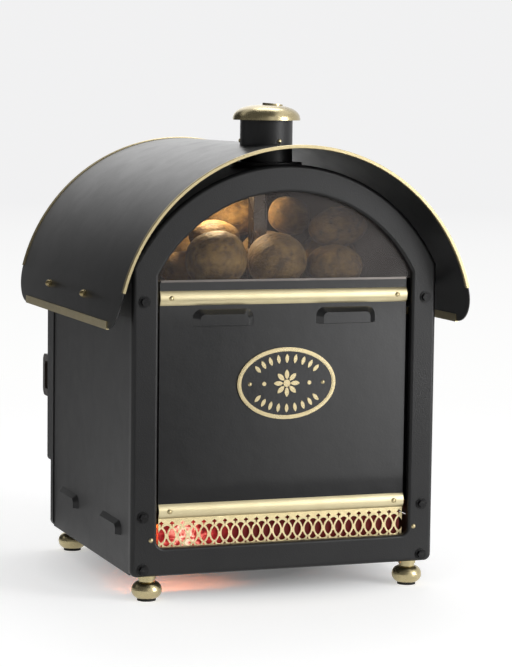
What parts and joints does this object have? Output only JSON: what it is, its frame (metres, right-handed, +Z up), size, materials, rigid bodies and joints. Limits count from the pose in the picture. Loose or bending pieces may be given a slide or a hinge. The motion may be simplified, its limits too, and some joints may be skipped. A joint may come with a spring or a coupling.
{
  "type": "baked potato oven",
  "caption": "Countertop baked potato oven: arched cabinet under a barrel roof with flue, lit display window, gallery over a glowing lamp, rear oven door and serving hatch.",
  "frame": {"origin": "on the table under the middle of the roof, at the lowest face of the foot pads", "axes": "+X to the right seen from the front, +Y from the front towards the rear doors, +Z up"},
  "size_m": [0.5392, 0.5492, 0.7014],
  "materials": {
    "powder_coat": "satin black powder coat",
    "panel_coat": "semi-gloss black powder coat",
    "roof_coat": "satin black powder coat",
    "brass": "satin brushed brass",
    "badge_black": "gloss enamel",
    "black_steel": "black oxide",
    "stainless": "brushed",
    "bright_steel": "polished",
    "duct_steel": "heat-tinted satin",
    "fan_aluminium": "satin",
    "glass": "clear with a brown haze",
    "ember_red": "translucent red sheet",
    "ember_bulb": "red lacquered glass",
    "lamp_bulb": "frosted glass",
    "neon": "translucent amber",
    "porcelain": "glazed white",
    "rubber_pad": "matt",
    "silicone": "matt silicone",
    "black_plastic": "satin phenolic",
    "switch_black": "gloss",
    "rocker_red": "gloss",
    "mineral_wool": "fibrous wool slab",
    "element_sheath": "heat-darkened",
    "motor_steel": "satin grey",
    "potato_skin": "dry baked potato skin",
    "magnet": "dark ferrite"
  },
  "bodies": {
    "cabinet": {"base_tray": "powder_coat", "side_panel_left": "powder_coat", "side_panel_right": "powder_coat", "barrel_top": "powder_coat", "rear_frame": "powder_coat", "front_frame": "powder_coat", "frame_bolts": "black_steel", "brass_screws": "brass", "front_panel": "panel_coat", "brass_strips": "brass", "badge_plaque": "brass", "badge_enamel": "badge_black", "gallery": "brass", "ember_screen": "ember_red", "ember_lamp": "ember_bulb", "lamp_holders": "porcelain", "window_glass": "glass", "glass_channel": "bright_steel", "roof_skin": "roof_coat", "roof_edge_trims": "brass", "roof_side_strips": "brass", "roof_spacers": "stainless", "roof_bolts": "brass", "flue_pipe": "powder_coat", "flue_cap": "brass", "flue_duct": "duct_steel", "feet": "brass", "foot_pads": "rubber_pad", "oven_liner": "stainless", "oven_insulation": "mineral_wool", "rack_runners": "stainless", "oven_racks": "bright_steel", "heating_element": "element_sheath", "fan_baffle": "stainless", "fan_motor": "motor_steel", "display_deck": "stainless", "display_tray": "stainless", "display_lamp": "lamp_bulb", "potatoes": "potato_skin", "control_panel": "stainless", "thermostat": "motor_steel", "timer": "motor_steel", "switch_bodies": "switch_black", "neon_lamps": "neon", "cable_gland": "switch_black", "hinge_brackets": "stainless", "door_catches": "magnet"},
    "oven_door": {"door_skin": "powder_coat", "door_liner": "stainless", "door_insulation": "mineral_wool", "door_seal": "silicone", "door_handle": "black_plastic"},
    "display_hatch": {"hatch": "powder_coat", "hatch_knob": "black_plastic"},
    "thermostat_dial": {"thermostat_knob": "black_plastic"},
    "timer_dial": {"timer_knob": "black_plastic"},
    "power_switch": {"power_rocker": "rocker_red"},
    "light_switch": {"light_rocker": "rocker_red"},
    "fan": {"fan_impeller": "fan_aluminium", "fan_shaft": "stainless"}
  },
  "joints": [
    {"name": "oven_door_hinge", "type": "hinge", "parent": "cabinet", "child": "oven_door", "pos_m": [0.222, 0.2235, 0.2665], "axis": [0, 0, -1], "range_deg": [0, 110]},
    {"name": "display_hatch_hinge", "type": "hinge", "parent": "cabinet", "child": "display_hatch", "pos_m": [0, 0.2205, 0.4145], "axis": [-1, 0, 0], "range_deg": [0, 90]},
    {"name": "thermostat_turn", "type": "hinge", "parent": "cabinet", "child": "thermostat_dial", "pos_m": [-0.13, 0.2135, 0.0855], "axis": [0, -1, 0], "range_deg": [0, 270]},
    {"name": "timer_turn", "type": "hinge", "parent": "cabinet", "child": "timer_dial", "pos_m": [-0.06, 0.2135, 0.0855], "axis": [0, -1, 0], "range_deg": [0, 330]},
    {"name": "power_rock", "type": "hinge", "parent": "cabinet", "child": "power_switch", "pos_m": [0.02, 0.208, 0.0855], "axis": [1, 0, 0], "range_deg": [0, 16]},
    {"name": "light_rock", "type": "hinge", "parent": "cabinet", "child": "light_switch", "pos_m": [0.06, 0.208, 0.0855], "axis": [1, 0, 0], "range_deg": [0, 16]},
    {"name": "fan_spin", "type": "hinge", "parent": "cabinet", "child": "fan", "pos_m": [0, -0.1305, 0.2665], "axis": [0, 1, 0], "continuous": true}
  ]
}
